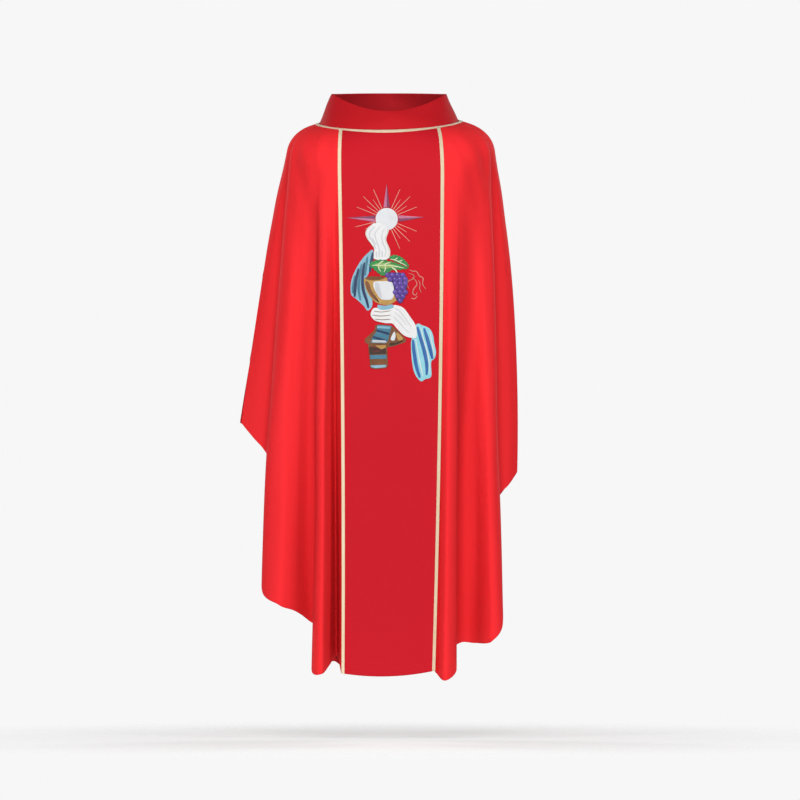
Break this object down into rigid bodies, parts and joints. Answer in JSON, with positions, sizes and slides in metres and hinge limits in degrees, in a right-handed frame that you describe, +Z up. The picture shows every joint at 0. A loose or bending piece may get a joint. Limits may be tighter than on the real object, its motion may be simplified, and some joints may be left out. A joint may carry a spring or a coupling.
{
  "type": "chasuble",
  "caption": "Full-length liturgical over-vestment with a stand-up collar, braided central bands and an embroidered chalice emblem, hanging in folds.",
  "frame": {"origin": "centre of the neck opening, level with the ends of the neck seam on the shoulders", "axes": "+Z up, -Y out of the front, +X towards the right side as seen from the front"},
  "size_m": [0.6262, 0.3283, 1.3286],
  "materials": {
    "cloth": "bright red plain satin-faced cloth",
    "band": "deeper crimson matt cloth of the orphrey",
    "collar_cloth": "crimson cloth of the collar",
    "interfacing": "stiff woven interfacing, hidden in the collar",
    "tape": "woven seam tape on the inside",
    "braid": "flat woven gold-coloured braid",
    "silver_thread": "silvery satin-stitch embroidery",
    "mauve_thread": "mauve satin-stitch embroidery",
    "ray_thread": "pink and peach thread",
    "cream_thread": "cream satin-stitch embroidery",
    "teal_thread": "teal satin-stitch embroidery",
    "sky_thread": "sky-blue satin-stitch embroidery",
    "green_thread": "green satin-stitch embroidery",
    "purple_thread": "purple satin-stitch embroidery",
    "tendril_thread": "pink-beige stem-stitch embroidery",
    "gold_thread": "gold-brown satin-stitch embroidery",
    "light_gold_thread": "light gold satin-stitch embroidery"
  },
  "bodies": {
    "root": {"front_panel_left": "cloth", "front_panel_right": "cloth", "front_orphrey": "band", "back_panel_left": "cloth", "back_panel_right": "cloth", "back_orphrey": "band", "front_hem_facing_left": "cloth", "front_hem_facing_right": "cloth", "back_hem_facing_left": "cloth", "back_hem_facing_right": "cloth", "front_orphrey_hem_facing": "band", "back_orphrey_hem_facing": "band", "shoulder_seam_tape_left": "tape", "shoulder_seam_tape_right": "tape", "neck_seam_tape": "tape", "front_braid_left": "braid", "front_braid_right": "braid", "back_braid_left": "braid", "back_braid_right": "braid", "neck_braid": "braid", "collar_outer": "collar_cloth", "collar_interfacing": "interfacing", "collar_facing": "collar_cloth", "emblem_disc": "silver_thread", "emblem_fine_rays": "ray_thread", "emblem_star_ray_top": "mauve_thread", "emblem_star_ray_right": "mauve_thread", "emblem_star_ray_left": "mauve_thread", "emblem_raised_hand": "cream_thread", "emblem_left_veil": "teal_thread", "emblem_lower_hand": "cream_thread", "emblem_right_sleeve": "sky_thread", "emblem_cup": "gold_thread", "emblem_cup_rim": "light_gold_thread", "emblem_cup_gleam": "silver_thread", "emblem_stem_wrap": "sky_thread", "emblem_foot": "gold_thread", "emblem_ribbon_upper": "teal_thread", "emblem_ribbon_end": "gold_thread", "emblem_leaf_lower": "green_thread", "emblem_leaf_upper": "green_thread", "emblem_tendril_1": "tendril_thread", "emblem_tendril_2": "tendril_thread", "emblem_vine_stem": "tendril_thread", "emblem_grapes": "purple_thread"}
  },
  "joints": []
}
